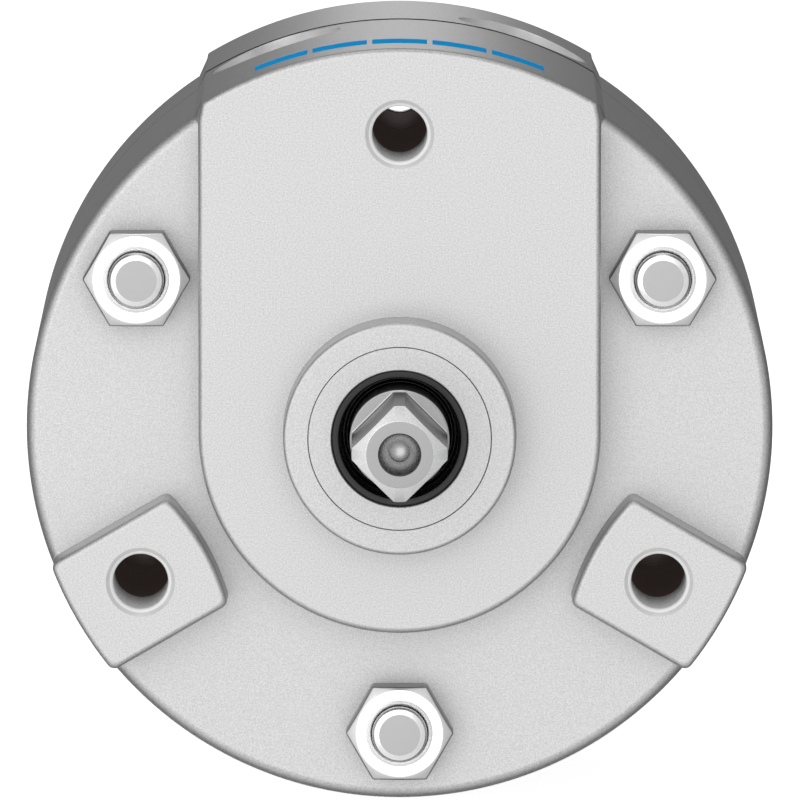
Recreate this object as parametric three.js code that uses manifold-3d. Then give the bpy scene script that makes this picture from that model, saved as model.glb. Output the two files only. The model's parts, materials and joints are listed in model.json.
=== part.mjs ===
// Single-vane pneumatic rotary actuator: compressed air swings a vane, and with it a double-ended
// shaft, to and fro inside a round housing that is split in two halves.
//
// Millimetres. +Z is up, towards the two air ports. The shaft runs along Y: its milled square end
// points along -Y (the front), its keyed output end along +Y (the rear). The origin lies on the
// shaft's axis, in the plane of the rear mounting faces. Angles in the XZ plane are in degrees
// from +X towards +Z.

import * as THREE from "three";
import { mergeVertices } from "three/addons/utils/BufferGeometryUtils.js";
import Module from "manifold-3d";

// ---------------------------------------------------------------- driving dimensions

const BODY_RADIUS = 40;
const BODY_LENGTH = 62.5; // between the two base faces
const LAND_HEIGHT = 7; // raised land and lugs, on both base faces
const FRONT_HALF_LENGTH = 40; // front base face to the joint between the halves
const JOINT_GAP = 0.1;
const FIT = 0.05; // play between faces that rest on each other

const REAR_BASE = -LAND_HEIGHT;
const FRONT_BASE = REAR_BASE - BODY_LENGTH;
const FRONT_LAND = FRONT_BASE - LAND_HEIGHT;
const REAR_LAND = 0;
const JOINT = FRONT_BASE + FRONT_HALF_LENGTH;

const LAND_HALF_WIDTH = 21.1;
const BOSS_RADIUS = 41.2;
const BOSS_HALF_WIDTH = 21;
const BOSS_ROOT_HALF_WIDTH = 22; // the boss's sides are drafted
const BOSS_ROOT_BITE = 0.3; // how far the boss's root lies inside the round body
const BOSS_FLOOR = 28; // inside the round body
const LAND_SHOULDER = 2; // the land's sides stop this far below the boss's corners

const LUG_WIDTH = 13;
const LUG_INNER_RADIUS = 24.2;
const LUG_INNER_CURVE = 26;
const LUG_ANGLES = [210, 330];

const FRONT_HUB_RADIUS = 12.5;
const FRONT_HUB_HEIGHT = 7;
const FRONT_HUB = FRONT_LAND - FRONT_HUB_HEIGHT;
const REAR_SPIGOT_RADIUS = 15;
const REAR_SPIGOT_HEIGHT = 2.5;

const MOUNT_HOLE = { radius: 2.95, circle: 32, angles: [90, 210, 330], chamfer: 0.75 };
const TIE_BOLT = { radius: 3, circle: 32.5, angles: [150, 30, 270], length: 65, clearance: 0.3 };
const BOLT_HEAD = { radius: 5, height: 6, socket: 5, socketDepth: 3, sunk: 4.1, chamfer: 0.5 };
const BOLT_HEAD_PLAY = 0.6;
const BOLT_TIP_CHAMFER = 0.7;
const NUT = { acrossFlats: 10, height: 5, chamfer: 0.6, mouth: 1.4, mouthDepth: 0.4 };

const PORT_TILT = 19.3; // each side of straight up
const PORT_TO_JOINT = 7.5;
const PORT = { radius: 4.3, floor: 31.5, seatRadius: 7.4, seatLevel: 39.7, passage: 1.5 };
const AIR_CHANNEL = { radius: 1.9, from: 12 }; // through the stator, from port to chamber

const CHAMBER_RADIUS = 26;
const END_WALL = 8;
const CHAMBER_FRONT = FRONT_BASE + END_WALL;
const CHAMBER_REAR = REAR_BASE - END_WALL;
const CHAMBER_PLAY = 0.3;

const BEARING = { bore: 6.15, outer: 10.5, width: 5, pitch: 8.25, ball: 1.2, balls: 9 };
const RACE_SHOULDER = { outer: 9, inner: 7.5 };
const CAGE = { halfThickness: 0.3, halfWidth: 1.6 };
const BEARING_POCKET = BEARING.outer + 0.3;
const RACE_PLAY = 0.15;

const SHAFT_BORE = 7;
const SQUARE = { acrossFlats: 8, cornerRadius: 5.1, length: 18, faceRadius: 3.55, chamferDepth: 0.9 };
const FRONT_JOURNAL = 5.25;
const BEARING_JOURNAL = 6;
const VANE_JOURNAL = 7;
const SHAFT_SHOULDER = FRONT_HUB - 1;
const OUTPUT_END = 31;
const OUTPUT_CHAMFER = 0.8;
const CENTRE_HOLE = { mouth: 2.35, pilot: 1.1, coneDepth: 2.2, depth: 5 };

const ROTOR_RADIUS = 10;
const STOP_ANGLE = 135; // each way from the middle of the stroke
const STATOR_SEAL = { halfWidth: 0.7, bottom: ROTOR_RADIUS + 0.3, top: 12.4 };
const VANE_HALF = 3.5;
const VANE_SEAL_HALF = 2.4;
const VANE_SEAL_DEPTH = 1.8;
const STOP_PAD = { thickness: 2, inner: 17, outer: 24, play: 0.4 };

const KEY = { width: 4, height: 4, inShaft: 2.5, play: 0.15 };
const VANE_KEY_LENGTH = 24;
const OUTPUT_KEY = { from: 8, length: 18 };

const DOWEL = { radius: 1.5, x: 4.2, z: 21.5, bite: 3 };
const JOINT_SEAL = { circle: 27.8, radius: 0.7, grooveHalfWidth: 0.9, grooveDepth: 1.5 };

const ROUND = 48; // facets of a full circle, for the body
const MEDIUM = 24;
const SMALL = 12;

// ---------------------------------------------------------------- materials

const finish = (color, roughness, metalness) =>
  new THREE.MeshStandardMaterial({ color, roughness, metalness });

const CAST_ALUMINIUM = finish(0xc9c9c8, 0.55, 0.75);
const MACHINED_ALUMINIUM = finish(0xbfc1c4, 0.35, 0.9);
const PLATED_STEEL = finish(0xd3d5d8, 0.25, 1);
const SHAFT_STEEL = finish(0xc4c6c9, 0.28, 1);
const BEARING_STEEL = finish(0xa9adb3, 0.2, 1);
const BLACK_RUBBER = finish(0x151515, 0.6, 0);
const STOP_RUBBER = finish(0x2b2f36, 0.7, 0);
const VANE_POLYMER = finish(0x3a3d42, 0.5, 0);

// ---------------------------------------------------------------- geometry helpers

const wasm = await Module();
wasm.setup();

const radians = THREE.MathUtils.degToRad;

function solid(geometry) {
  geometry.deleteAttribute("normal");
  geometry.deleteAttribute("uv");
  const merged = mergeVertices(geometry, 1e-4);
  return new wasm.Manifold(
    new wasm.Mesh({
      numProp: 3,
      vertProperties: merged.attributes.position.array,
      triVerts: new Uint32Array(merged.index.array),
    }),
  );
}

const cut = (body, tools) => tools.reduce((left, tool) => left.subtract(tool), body);
const join = (pieces) => pieces.reduce((all, piece) => all.add(piece));

function geometryOf(body) {
  const mesh = body.getMesh();
  const geometry = new THREE.BufferGeometry();
  geometry.setAttribute("position", new THREE.BufferAttribute(mesh.vertProperties, 3));
  geometry.setIndex(new THREE.BufferAttribute(mesh.triVerts, 1));
  geometry.computeVertexNormals();
  return geometry;
}

function piece(name, body, material) {
  const mesh = new THREE.Mesh(geometryOf(body), material);
  mesh.name = name;
  return mesh;
}

// Turns a geometry about the shaft's axis, so that what lay along +X lies at the given angle.
const turned = (geometry, angle) => geometry.rotateY(-radians(angle));

// A solid of revolution about the Y axis. The profile is a list of [radius, y], anticlockwise.
function lathe(profile, facets = MEDIUM) {
  const points = profile.map(([radius, y]) => new THREE.Vector2(radius, y));
  return new THREE.LatheGeometry(points, facets);
}

function disc(radius, from, to, facets = MEDIUM) {
  return lathe([[0, from], [radius, from], [radius, to], [0, to]], facets);
}

function ring(inner, outer, from, to, facets = MEDIUM) {
  return lathe([[inner, from], [outer, from], [outer, to], [inner, to], [inner, from]], facets);
}

// A plate whose outline lies in the XZ plane, from one y to another.
function plate(outline, from, to, curveSegments = SMALL) {
  const depth = to - from;
  const geometry = new THREE.ExtrudeGeometry(outline, { depth, bevelEnabled: false, curveSegments });
  return geometry.rotateX(Math.PI / 2).translate(0, to, 0);
}

function block(x, y, z) {
  return new THREE.BoxGeometry(x[1] - x[0], y[1] - y[0], z[1] - z[0]).translate(
    (x[0] + x[1]) / 2,
    (y[0] + y[1]) / 2,
    (z[0] + z[1]) / 2,
  );
}

// A round bar that points away from the shaft's axis.
function radialBar(radius, from, to, y, angle, facets = SMALL) {
  const bar = new THREE.CylinderGeometry(radius, radius, to - from, facets);
  bar.rotateZ(-Math.PI / 2).translate((from + to) / 2, y, 0);
  return turned(bar, angle);
}

const onCircle = (circle, angle) => [
  circle * Math.cos(radians(angle)),
  circle * Math.sin(radians(angle)),
];

const at = (geometry, [x, z]) => geometry.translate(x, 0, z);

// ---------------------------------------------------------------- housing outlines

function landOutline() {
  const cornerHeight = Math.sqrt(BOSS_RADIUS ** 2 - BOSS_HALF_WIDTH ** 2);
  const cornerAngle = Math.atan2(cornerHeight, BOSS_HALF_WIDTH);
  const outline = new THREE.Shape();
  outline.absarc(0, 0, LAND_HALF_WIDTH, Math.PI, 2 * Math.PI);
  outline.lineTo(LAND_HALF_WIDTH, cornerHeight - LAND_SHOULDER);
  outline.absarc(0, 0, BOSS_RADIUS, cornerAngle, Math.PI - cornerAngle);
  outline.lineTo(-LAND_HALF_WIDTH, cornerHeight - LAND_SHOULDER);
  return outline;
}

function bossOutline() {
  const cornerHeight = Math.sqrt(BOSS_RADIUS ** 2 - BOSS_HALF_WIDTH ** 2);
  const rootHeight = Math.sqrt(BODY_RADIUS ** 2 - BOSS_ROOT_HALF_WIDTH ** 2) - BOSS_ROOT_BITE;
  const cornerAngle = Math.atan2(cornerHeight, BOSS_HALF_WIDTH);
  const outline = new THREE.Shape();
  outline.moveTo(-BOSS_ROOT_HALF_WIDTH, BOSS_FLOOR);
  outline.lineTo(BOSS_ROOT_HALF_WIDTH, BOSS_FLOOR);
  outline.lineTo(BOSS_ROOT_HALF_WIDTH, rootHeight);
  outline.absarc(0, 0, BOSS_RADIUS, cornerAngle, Math.PI - cornerAngle);
  outline.lineTo(-BOSS_ROOT_HALF_WIDTH, rootHeight);
  return outline;
}

// Drawn along +X, then turned to its angle. Its inner edge is a shallow arc that bulges inwards.
function lugOutline() {
  const half = LUG_WIDTH / 2;
  const centre = LUG_INNER_RADIUS + LUG_INNER_CURVE;
  const swing = Math.asin(half / LUG_INNER_CURVE);
  const outerSwing = Math.asin(half / BODY_RADIUS);
  const outline = new THREE.Shape();
  outline.absarc(0, 0, BODY_RADIUS, -outerSwing, outerSwing);
  outline.absarc(centre, 0, LUG_INNER_CURVE, Math.PI - swing, Math.PI + swing);
  return outline;
}

const raisedFaces = (from, to) => [
  solid(plate(landOutline(), from, to)),
  ...LUG_ANGLES.map((angle) => solid(turned(plate(lugOutline(), from, to, 8), angle))),
];

// ---------------------------------------------------------------- cuts shared by both halves

function mountHoles(face, inwards, from, to) {
  const { radius, circle, angles, chamfer } = MOUNT_HOLE;
  const mouth = [[0, face - inwards], [radius + chamfer + 1, face - inwards]];
  const throat = [[radius, face + inwards * chamfer], [0, face + inwards * chamfer]];
  const cone = inwards > 0 ? [...mouth, ...throat] : [...mouth, ...throat].reverse();
  return angles.flatMap((angle) => [
    solid(at(disc(radius, from, to), onCircle(circle, angle))),
    solid(at(lathe(cone), onCircle(circle, angle))),
  ]);
}

function boltHoles(from, to) {
  const { radius, clearance, circle, angles } = TIE_BOLT;
  return angles.map((angle) =>
    solid(at(disc(radius + clearance, from, to, SMALL), onCircle(circle, angle))),
  );
}

function portCuts(y, angle) {
  return [
    radialBar(PORT.seatRadius, PORT.seatLevel, BODY_RADIUS + 8, y, angle, MEDIUM),
    radialBar(PORT.radius, PORT.floor, BODY_RADIUS, y, angle),
    radialBar(PORT.passage, CHAMBER_RADIUS - 2, PORT.floor + 1, y, angle, 12),
  ].map(solid);
}

function dowelHoles() {
  const reach = DOWEL.bite + 0.2;
  return [-DOWEL.x, DOWEL.x].map((x) =>
    solid(
      at(disc(DOWEL.radius + 0.15, CHAMBER_FRONT - reach, CHAMBER_REAR + reach, 16), [x, DOWEL.z]),
    ),
  );
}

// ---------------------------------------------------------------- housing

const SEAL_POCKET_DEPTH = 7;
const FRONT_SEAL = { pocket: 9.8, coverBore: 7.3, cover: 2, journal: FRONT_JOURNAL };
const REAR_SEAL = { pocket: 11, coverBore: 8.3, cover: 2, journal: BEARING_JOURNAL };

function frontHousing() {
  const end = JOINT - JOINT_GAP / 2;
  const shell = join([
    solid(disc(BODY_RADIUS, FRONT_BASE, end, ROUND)),
    ...raisedFaces(FRONT_LAND, FRONT_BASE + 1),
    solid(plate(bossOutline(), FRONT_LAND, end)),
    solid(disc(FRONT_HUB_RADIUS, FRONT_HUB, FRONT_LAND + 1, MEDIUM)),
  ]);
  return cut(shell, [
    solid(disc(CHAMBER_RADIUS, CHAMBER_FRONT, end + 1, ROUND)),
    solid(disc(BEARING_POCKET, FRONT_BASE - FIT, CHAMBER_FRONT + 1)),
    solid(disc(SHAFT_BORE, FRONT_HUB - 1, CHAMBER_FRONT)),
    solid(disc(FRONT_SEAL.pocket, FRONT_HUB - 1, FRONT_HUB + SEAL_POCKET_DEPTH)),
    ...mountHoles(FRONT_LAND, 1, FRONT_LAND - 1, end + 1),
    ...boltHoles(FRONT_BASE - 1, end + 1),
    ...dowelHoles(),
    ...portCuts(JOINT - PORT_TO_JOINT, 90 + PORT_TILT),
  ]);
}

function rearHousing() {
  const start = JOINT + JOINT_GAP / 2;
  const spigotEnd = REAR_LAND + REAR_SPIGOT_HEIGHT;
  const { circle, grooveHalfWidth, grooveDepth } = JOINT_SEAL;
  const shell = join([
    solid(disc(BODY_RADIUS, start, REAR_BASE, ROUND)),
    ...raisedFaces(REAR_BASE - 1, REAR_LAND),
    solid(plate(bossOutline(), start, REAR_LAND)),
    solid(disc(REAR_SPIGOT_RADIUS, REAR_LAND - 1, spigotEnd, MEDIUM)),
  ]);
  const seatRadius = BOLT_HEAD.radius + BOLT_HEAD_PLAY;
  const groove = [circle - grooveHalfWidth, circle + grooveHalfWidth];
  const headSeats = TIE_BOLT.angles.map((angle) =>
    solid(
      at(
        disc(seatRadius, REAR_BASE - BOLT_HEAD.sunk, REAR_LAND + 1, SMALL),
        onCircle(TIE_BOLT.circle, angle),
      ),
    ),
  );
  return cut(shell, [
    solid(disc(CHAMBER_RADIUS, start - 1, CHAMBER_REAR, ROUND)),
    solid(disc(BEARING_POCKET, CHAMBER_REAR - 1, REAR_BASE + FIT)),
    solid(disc(SHAFT_BORE, CHAMBER_REAR, spigotEnd + 1)),
    solid(disc(REAR_SEAL.pocket, spigotEnd - SEAL_POCKET_DEPTH, spigotEnd + 1)),
    solid(ring(...groove, start - 1, start + grooveDepth, ROUND)),
    ...mountHoles(REAR_LAND, -1, start - 1, REAR_LAND + 1),
    ...boltHoles(start - 1, REAR_BASE + 1),
    ...headSeats,
    ...dowelHoles(),
    ...portCuts(JOINT + PORT_TO_JOINT, 90 - PORT_TILT),
  ]);
}

function jointSeal() {
  const { circle, radius, grooveDepth } = JOINT_SEAL;
  const sides = 6;
  const middle = JOINT + JOINT_GAP / 2 + grooveDepth / 2;
  const profile = Array.from({ length: sides + 1 }, (_, i) => {
    const turn = (2 * Math.PI * (i % sides)) / sides;
    return [circle + radius * Math.cos(turn), middle + radius * Math.sin(turn)];
  });
  return solid(lathe(profile, ROUND));
}

// ---------------------------------------------------------------- seals in the hub and the spigot

// `face` is the hub's outer face, and `inwards` is +1 or -1 along Y. The profiles run from the
// outside in, so they are reversed where the seal looks the other way.
const facing = (profile, inwards) => (inwards > 0 ? profile : [...profile].reverse());

function sealCover({ pocket, coverBore, cover }, face, inwards) {
  const outer = pocket - 0.15;
  const far = face + inwards * cover;
  const profile = [[coverBore, face], [outer, face], [outer, far], [coverBore, far], [coverBore, face]];
  return solid(lathe(facing(profile, inwards)));
}

// A rotary shaft seal: a thick ring with a nose inside the cover, and a funnel down to its lip.
function shaftSeal({ pocket, coverBore, cover, journal }, face, inwards) {
  const y = (depth) => face + inwards * depth;
  const outer = pocket - 0.2;
  const nose = coverBore - 0.15;
  const lip = journal + 0.15;
  const floor = SEAL_POCKET_DEPTH - FIT;
  const profile = [
    [nose - 0.5, y(1)],
    [nose, y(1.2)],
    [nose, y(cover + FIT)],
    [outer, y(cover + FIT)],
    [outer, y(floor)],
    [journal + 0.9, y(floor)],
    [lip, y(5)],
    [lip + 0.5, y(4.4)],
    [nose - 0.8, y(3.6)],
    [nose - 0.5, y(1)],
  ];
  return solid(lathe(facing(profile, inwards)));
}

function chamberSeal(from, to) {
  return solid(ring(VANE_JOURNAL + 0.3, BEARING.outer, from, to));
}

// ---------------------------------------------------------------- ball bearings

// The race is a shallow round groove in the ring's face, at the given radius.
function raceArc(middle, faceRadius, sign) {
  const groove = BEARING.ball + RACE_PLAY;
  const reach = Math.acos(Math.abs(faceRadius - BEARING.pitch) / groove);
  const steps = 2;
  return Array.from({ length: steps + 1 }, (_, i) => {
    const turn = reach - (2 * reach * i) / steps;
    return [BEARING.pitch + sign * groove * Math.cos(turn), middle + sign * groove * Math.sin(turn)];
  });
}

function outerRace(middle) {
  const half = BEARING.width / 2 - FIT;
  const face = RACE_SHOULDER.outer;
  return solid(
    lathe([
      [BEARING.outer, middle - half],
      [BEARING.outer, middle + half],
      [face, middle + half],
      ...raceArc(middle, face, 1),
      [face, middle - half],
      [BEARING.outer, middle - half],
    ]),
  );
}

function innerRace(middle) {
  const half = BEARING.width / 2 - FIT;
  const face = RACE_SHOULDER.inner;
  return solid(
    lathe([
      [face, middle - half],
      ...raceArc(middle, face, -1),
      [face, middle + half],
      [BEARING.bore, middle + half],
      [BEARING.bore, middle - half],
      [face, middle - half],
    ]),
  );
}

function ballCage(middle) {
  const { pitch, ball, balls } = BEARING;
  const { halfThickness, halfWidth } = CAGE;
  const band = [pitch - halfThickness, pitch + halfThickness];
  const cage = solid(ring(...band, middle - halfWidth, middle + halfWidth, SMALL));
  const spheres = Array.from({ length: balls }, (_, i) => {
    const sphere = new THREE.SphereGeometry(ball, 6, 4);
    return solid(at(sphere.translate(0, middle, 0), onCircle(pitch, (360 * i) / balls)));
  });
  return join([cage, ...spheres]);
}

// ---------------------------------------------------------------- fasteners

// Both stand on their own axis, at their real height along Y.
function tieBolt() {
  const { radius, length } = TIE_BOLT;
  const seat = REAR_BASE - BOLT_HEAD.sunk + FIT;
  const tip = seat - length;
  const top = seat + BOLT_HEAD.height;
  const bar = lathe(
    [
      [0, tip],
      [radius - BOLT_TIP_CHAMFER, tip],
      [radius, tip + BOLT_TIP_CHAMFER],
      [radius, seat],
      [BOLT_HEAD.radius, seat],
      [BOLT_HEAD.radius, top - BOLT_HEAD.chamfer],
      [BOLT_HEAD.radius - BOLT_HEAD.chamfer, top],
      [0, top],
    ],
    SMALL,
  );
  const cornerRadius = BOLT_HEAD.socket / Math.sqrt(3);
  const socketHeight = 2 * BOLT_HEAD.socketDepth;
  const socket = new THREE.CylinderGeometry(cornerRadius, cornerRadius, socketHeight, 6);
  return cut(solid(bar), [solid(socket.translate(0, top, 0))]);
}

function tieNut() {
  const seat = FRONT_BASE - FIT;
  const face = seat - NUT.height;
  const cornerRadius = NUT.acrossFlats / Math.sqrt(3);
  const threadRadius = TIE_BOLT.radius + TIE_BOLT.clearance;
  const hexagon = new THREE.CylinderGeometry(cornerRadius, cornerRadius, NUT.height, 6);
  hexagon.rotateY(Math.PI / 6).translate(0, (seat + face) / 2, 0);
  const dome = lathe(
    [
      [0, face - FIT],
      [NUT.acrossFlats / 2 - 0.2, face - FIT],
      [cornerRadius + 0.2, face + NUT.chamfer],
      [cornerRadius + 0.2, seat + 1],
      [0, seat + 1],
    ],
    MEDIUM,
  );
  const floor = face + NUT.mouthDepth;
  const mouth = lathe(
    [[0, face - 1], [threadRadius + NUT.mouth, face - 1], [threadRadius, floor], [0, floor]],
    SMALL,
  );
  return cut(solid(hexagon).intersect(solid(dome)), [
    solid(disc(threadRadius, face - 1, seat + 1, SMALL)),
    solid(mouth),
  ]);
}

// ---------------------------------------------------------------- fixed pieces in the chamber

const FLANK = VANE_HALF + STOP_PAD.play + STOP_PAD.thickness;
const STOP_DIRECTION = STOP_ANGLE - 90; // the stopped vane's angle above horizontal

const airChannel = (y, angle) =>
  solid(radialBar(AIR_CHANNEL.radius, AIR_CHANNEL.from, CHAMBER_RADIUS + 1, y, angle, 16));

// The fixed barrier fills the chamber between the two stops. Its flanks lie parallel to the
// vane's faces when the vane is at the end of its stroke.
function statorBlock() {
  const outer = CHAMBER_RADIUS - CHAMBER_PLAY;
  const inner = ROTOR_RADIUS + 0.4;
  const from = CHAMBER_FRONT + CHAMBER_PLAY;
  const to = CHAMBER_REAR - CHAMBER_PLAY;
  const flankAngle = (radius) => radians(STOP_DIRECTION) + Math.asin(FLANK / radius);
  const outline = new THREE.Shape();
  outline.absarc(0, 0, outer, flankAngle(outer), Math.PI - flankAngle(outer));
  outline.absarc(0, 0, inner, Math.PI - flankAngle(inner), flankAngle(inner), true);
  const slot = STATOR_SEAL.halfWidth + 0.2;
  return cut(solid(plate(outline, from, to)), [
    solid(block([-slot, slot], [from - 1, to + 1], [0, STATOR_SEAL.top + 0.2])),
    airChannel(JOINT - PORT_TO_JOINT, 90 + PORT_TILT),
    airChannel(JOINT + PORT_TO_JOINT, 90 - PORT_TILT),
    ...dowelHoles(),
  ]);
}

function statorSeal() {
  const { halfWidth, bottom, top } = STATOR_SEAL;
  const ends = [CHAMBER_FRONT + 0.5, CHAMBER_REAR - 0.5];
  return solid(block([-halfWidth, halfWidth], ends, [bottom, top]));
}

// An elastic pad on the stator's flank, drawn along +X and turned to the stopped vane.
function stopPad(side) {
  const outer = FLANK - FIT;
  const innerFace = FLANK - STOP_PAD.thickness;
  const angle = side > 0 ? STOP_DIRECTION : 180 - STOP_DIRECTION;
  const z = side > 0 ? [innerFace, outer] : [-outer, -innerFace];
  const pad = block([STOP_PAD.inner, STOP_PAD.outer], [CHAMBER_FRONT + 2, CHAMBER_REAR - 2], z);
  return solid(turned(pad, angle));
}

function dowelPin() {
  return solid(disc(DOWEL.radius, CHAMBER_FRONT - DOWEL.bite, CHAMBER_REAR + DOWEL.bite, 16));
}

// ---------------------------------------------------------------- rotor

function keySlot(from, to, top, bottom) {
  const half = KEY.width / 2 + KEY.play;
  return solid(block([-half, half], [from, to], [bottom, top]));
}

const ROTOR_FRONT = CHAMBER_FRONT + CHAMBER_PLAY;
const ROTOR_REAR = CHAMBER_REAR - CHAMBER_PLAY;
const ROTOR_MIDDLE = (ROTOR_FRONT + ROTOR_REAR) / 2;
const VANE_KEY_FLOOR = -(VANE_JOURNAL - KEY.inShaft);

function shaft() {
  const front = SHAFT_SHOULDER - SQUARE.length;
  const { mouth, pilot, coneDepth, depth } = CENTRE_HOLE;
  const bearingEnd = FRONT_BASE + BEARING.width;
  const bearingStart = REAR_BASE - BEARING.width;
  const bar = lathe([
    [0, front + depth],
    [pilot, front + depth],
    [pilot, front + coneDepth],
    [mouth, front],
    [SQUARE.faceRadius, front],
    [SQUARE.cornerRadius, front + SQUARE.chamferDepth],
    [SQUARE.cornerRadius, SHAFT_SHOULDER],
    [FRONT_JOURNAL, SHAFT_SHOULDER],
    [FRONT_JOURNAL, FRONT_BASE - 1],
    [BEARING_JOURNAL, FRONT_BASE - 1],
    [BEARING_JOURNAL, bearingEnd + FIT],
    [VANE_JOURNAL, bearingEnd + FIT],
    [VANE_JOURNAL, bearingStart - FIT],
    [BEARING_JOURNAL, bearingStart - FIT],
    [BEARING_JOURNAL, OUTPUT_END - OUTPUT_CHAMFER],
    [BEARING_JOURNAL - OUTPUT_CHAMFER, OUTPUT_END],
    [mouth, OUTPUT_END],
    [pilot, OUTPUT_END - coneDepth],
    [pilot, OUTPUT_END - depth],
    [0, OUTPUT_END - depth],
  ]);
  const half = SQUARE.acrossFlats / 2;
  const flats = [45, 135, 225, 315].map((angle) =>
    solid(turned(block([half, half + 4], [front - 1, SHAFT_SHOULDER], [-8, 8]), angle)),
  );
  const halfKey = VANE_KEY_LENGTH / 2 + KEY.play;
  const { from, length } = OUTPUT_KEY;
  return cut(solid(bar), [
    ...flats,
    keySlot(ROTOR_MIDDLE - halfKey, ROTOR_MIDDLE + halfKey, VANE_KEY_FLOOR + KEY.play, -10),
    keySlot(from, from + length, 10, BEARING_JOURNAL - KEY.inShaft - KEY.play),
  ]);
}

// The vane hangs straight down from its hub at the middle of the stroke.
function vane() {
  const edge = CHAMBER_RADIUS - CHAMBER_PLAY - VANE_SEAL_DEPTH;
  const from = ROTOR_FRONT + VANE_SEAL_DEPTH;
  const to = ROTOR_REAR - VANE_SEAL_DEPTH;
  const halfKey = VANE_KEY_LENGTH / 2 + KEY.play;
  const body = join([
    solid(disc(ROTOR_RADIUS, ROTOR_FRONT, ROTOR_REAR)),
    solid(block([-VANE_HALF, VANE_HALF], [from, to], [-edge, -VANE_JOURNAL - 1])),
  ]);
  return cut(body, [
    solid(disc(VANE_JOURNAL + 0.2, ROTOR_FRONT - 1, ROTOR_REAR + 1)),
    keySlot(
      ROTOR_MIDDLE - halfKey,
      ROTOR_MIDDLE + halfKey,
      0,
      VANE_KEY_FLOOR - KEY.height - KEY.play,
    ),
  ]);
}

// The seal wraps the vane's three free edges like a U.
function vaneSeal() {
  const gap = 0.2;
  const reach = CHAMBER_RADIUS - CHAMBER_PLAY - 0.2;
  const core = reach - VANE_SEAL_DEPTH + gap;
  const width = [-VANE_SEAL_HALF, VANE_SEAL_HALF];
  const outer = block(width, [ROTOR_FRONT, ROTOR_REAR], [-reach, -ROTOR_RADIUS - 0.4]);
  const inner = block(
    [-VANE_SEAL_HALF - 1, VANE_SEAL_HALF + 1],
    [ROTOR_FRONT + VANE_SEAL_DEPTH - gap, ROTOR_REAR - VANE_SEAL_DEPTH + gap],
    [-core, -ROTOR_RADIUS + 1],
  );
  return cut(solid(outer), [solid(inner)]);
}

// A parallel key with round ends, drawn flat in XY and standing up along Z from its floor.
function parallelKey(length, middle, floor) {
  const half = KEY.width / 2;
  const straight = length / 2 - half;
  const outline = new THREE.Shape();
  outline.absarc(0, straight, half, 0, Math.PI);
  outline.absarc(0, -straight, half, Math.PI, 2 * Math.PI);
  const bar = new THREE.ExtrudeGeometry(outline, {
    depth: KEY.height,
    bevelEnabled: false,
    curveSegments: 8,
  });
  return solid(bar.translate(0, middle, floor));
}

// ---------------------------------------------------------------- assembly

const FRONT_BEARING_MIDDLE = FRONT_BASE + BEARING.width / 2;
const REAR_BEARING_MIDDLE = REAR_BASE - BEARING.width / 2;

function housingGroup() {
  const group = new THREE.Group();
  const spigotFace = REAR_LAND + REAR_SPIGOT_HEIGHT;
  const frontSealBack = FRONT_BASE + BEARING.width + 0.2;
  const rearSealBack = REAR_BASE - BEARING.width - 0.2;
  group.add(
    piece("front_housing", frontHousing(), CAST_ALUMINIUM),
    piece("rear_housing", rearHousing(), CAST_ALUMINIUM),
    piece("joint_seal", jointSeal(), BLACK_RUBBER),
    piece("front_seal_cover", sealCover(FRONT_SEAL, FRONT_HUB, 1), MACHINED_ALUMINIUM),
    piece("front_shaft_seal", shaftSeal(FRONT_SEAL, FRONT_HUB, 1), BLACK_RUBBER),
    piece("rear_seal_cover", sealCover(REAR_SEAL, spigotFace, -1), MACHINED_ALUMINIUM),
    piece("rear_shaft_seal", shaftSeal(REAR_SEAL, spigotFace, -1), BLACK_RUBBER),
    piece("front_chamber_seal", chamberSeal(frontSealBack, CHAMBER_FRONT - 0.2), BLACK_RUBBER),
    piece("rear_chamber_seal", chamberSeal(CHAMBER_REAR + 0.2, rearSealBack), BLACK_RUBBER),
    piece("front_bearing_outer_ring", outerRace(FRONT_BEARING_MIDDLE), BEARING_STEEL),
    piece("rear_bearing_outer_ring", outerRace(REAR_BEARING_MIDDLE), BEARING_STEEL),
    piece("stator_block", statorBlock(), MACHINED_ALUMINIUM),
    piece("stator_seal", statorSeal(), BLACK_RUBBER),
    piece("left_stop_pad", stopPad(-1), STOP_RUBBER),
    piece("right_stop_pad", stopPad(1), STOP_RUBBER),
  );
  [-DOWEL.x, DOWEL.x].forEach((x, i) => {
    const pin = piece("stator_dowel_" + (i + 1), dowelPin(), BEARING_STEEL);
    pin.position.set(x, 0, DOWEL.z);
    group.add(pin);
  });
  TIE_BOLT.angles.forEach((angle, i) => {
    const [x, z] = onCircle(TIE_BOLT.circle, angle);
    const bolt = piece("tie_bolt_" + (i + 1), tieBolt(), PLATED_STEEL);
    const nut = piece("tie_nut_" + (i + 1), tieNut(), PLATED_STEEL);
    [bolt, nut].forEach((fastener) => fastener.position.set(x, 0, z));
    group.add(bolt, nut);
  });
  return group;
}

function rotorGroup() {
  const group = new THREE.Group();
  const outputKeyLength = OUTPUT_KEY.length - 2 * KEY.play;
  group.add(
    piece("shaft", shaft(), SHAFT_STEEL),
    piece("vane", vane(), VANE_POLYMER),
    piece("vane_seal", vaneSeal(), BLACK_RUBBER),
    piece(
      "vane_key",
      parallelKey(VANE_KEY_LENGTH, ROTOR_MIDDLE, VANE_KEY_FLOOR - KEY.height),
      BEARING_STEEL,
    ),
    piece(
      "output_key",
      parallelKey(
        outputKeyLength,
        OUTPUT_KEY.from + OUTPUT_KEY.length / 2,
        BEARING_JOURNAL - KEY.inShaft,
      ),
      BEARING_STEEL,
    ),
    piece("front_bearing_inner_ring", innerRace(FRONT_BEARING_MIDDLE), BEARING_STEEL),
    piece("rear_bearing_inner_ring", innerRace(REAR_BEARING_MIDDLE), BEARING_STEEL),
  );
  return group;
}

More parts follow.
